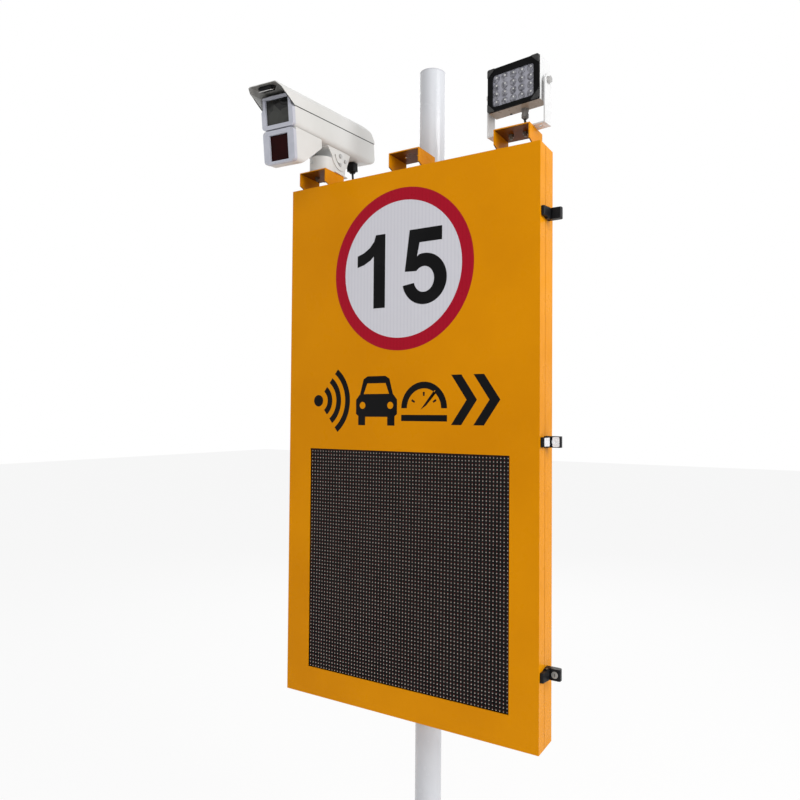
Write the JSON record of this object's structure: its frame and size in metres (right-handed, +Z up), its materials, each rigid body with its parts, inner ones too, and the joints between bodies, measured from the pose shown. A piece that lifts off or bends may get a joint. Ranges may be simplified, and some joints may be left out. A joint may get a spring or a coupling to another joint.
{
  "type": "radar speed sign",
  "caption": "Post-mounted radar speed sign: flat cabinet with speed roundel and LED matrix, with radar camera and floodlight on top.",
  "frame": {"origin": "on the ground under the post's axis, at the underside of the base plate", "axes": "+X to the viewer's right, +Y to the back, +Z up"},
  "size_m": [0.853, 0.5473, 2.535],
  "materials": {
    "galvanised": "satin",
    "post_white": "gloss",
    "cap_grey": "satin",
    "orange_paint": "semi-gloss powder coat",
    "seal_rubber": "matte",
    "steel": "satin",
    "black_latch": "satin",
    "board_green": "satin",
    "casing_grey": "satin",
    "gland_black": "matte",
    "device_white": "satin",
    "lead_black": "matte",
    "frame_black": "matte",
    "led_black": "matte",
    "film_white": "reflective film",
    "film_red": "reflective film",
    "lock_grey": "satin",
    "bezel_white": "satin",
    "dark_glass": "gloss",
    "red_glass": "gloss",
    "lens_black": "satin",
    "lamp_white": "gloss",
    "lens_clear": "gloss",
    "clamp_grey": "matte"
  },
  "bodies": {
    "post_and_case": {"base_plate": "galvanised", "mounting_rails": "galvanised", "pole_u_bolts": "galvanised", "u_bolt_nuts": "galvanised", "pole_tube": "post_white", "pole_cap": "cap_grey", "rear_case": "orange_paint", "left_bracket": "orange_paint", "middle_bracket": "orange_paint", "right_bracket": "orange_paint", "hinge_case_leaves": "orange_paint", "case_seal": "seal_rubber", "hinge_pins": "steel", "latch_pins": "steel", "device_bolts": "steel", "camera_foot_screws": "steel", "din_rail": "steel", "power_supply": "steel", "latch_blocks": "black_latch", "control_board": "board_green", "circuit_breaker": "casing_grey", "terminal_block": "casing_grey", "cable_glands": "gland_black", "camera_foot": "device_white", "camera_lead": "lead_black", "flood_lead": "lead_black", "flood_arm": "lamp_white"},
    "door": {"door_shell": "orange_paint", "hinge_door_leaves": "orange_paint", "module_frame": "frame_black", "led_row_1": "led_black", "led_row_2": "led_black", "led_row_3": "led_black", "led_row_4": "led_black", "roundel_disc": "film_white", "roundel_ring": "film_red"},
    "lever_top": {"latch_lever_top": "black_latch"},
    "plug_top": {"lock_plug_top": "lock_grey"},
    "lever_middle": {"latch_lever_middle": "black_latch"},
    "plug_middle": {"lock_plug_middle": "lock_grey"},
    "lever_low": {"latch_lever_low": "black_latch"},
    "plug_low": {"lock_plug_low": "lock_grey"},
    "camera_head": {"camera_housing": "device_white", "camera_sunshield": "device_white", "camera_bezel": "bezel_white", "camera_window": "dark_glass", "camera_lens": "lens_black", "radar_pod": "device_white", "pod_bezel": "bezel_white", "pod_window": "red_glass", "radar_board": "board_green", "camera_connector": "lead_black", "tilt_shoe": "device_white"},
    "flood_head": {"flood_housing": "lamp_white", "flood_frame": "frame_black", "flood_corner_clamps": "clamp_grey", "flood_lens_plate": "lens_clear", "flood_led_board": "board_green", "flood_gland": "gland_black", "flood_pivot_bolts": "steel"}
  },
  "joints": [
    {"name": "door_hinge", "type": "hinge", "parent": "post_and_case", "child": "door", "pos_m": [-0.406, -0.12, 1.45], "axis": [0, 0, -1], "range_deg": [0, 110]},
    {"name": "lever_turn_top", "type": "hinge", "parent": "post_and_case", "child": "lever_top", "pos_m": [0.406, -0.1215, 2.027], "axis": [0, 0, 1], "range_deg": [0, 80]},
    {"name": "lever_turn_middle", "type": "hinge", "parent": "post_and_case", "child": "lever_middle", "pos_m": [0.406, -0.1215, 1.456], "axis": [0, 0, 1], "range_deg": [0, 80]},
    {"name": "lever_turn_low", "type": "hinge", "parent": "post_and_case", "child": "lever_low", "pos_m": [0.406, -0.1215, 0.885], "axis": [0, 0, 1], "range_deg": [0, 80]},
    {"name": "key_turn_top", "type": "hinge", "parent": "post_and_case", "child": "plug_top", "pos_m": [0.425, -0.116, 2.027], "axis": [0, -1, 0], "range_deg": [0, 90]},
    {"name": "key_turn_middle", "type": "hinge", "parent": "post_and_case", "child": "plug_middle", "pos_m": [0.425, -0.116, 1.456], "axis": [0, -1, 0], "range_deg": [0, 90]},
    {"name": "key_turn_low", "type": "hinge", "parent": "post_and_case", "child": "plug_low", "pos_m": [0.425, -0.116, 0.885], "axis": [0, -1, 0], "range_deg": [0, 90]},
    {"name": "camera_tilt", "type": "hinge", "parent": "post_and_case", "child": "camera_head", "pos_m": [-0.32, -0.085, 2.3125], "axis": [0.9978, 0.0663, 0], "range_deg": [-5, 3], "deforming": ["camera_lead"]},
    {"name": "flood_tilt", "type": "hinge", "parent": "post_and_case", "child": "flood_head", "pos_m": [0.322, -0.111, 2.364], "axis": [0.9928, -0.1201, 0], "range_deg": [-45, 45], "deforming": ["flood_lead"]}
  ]
}
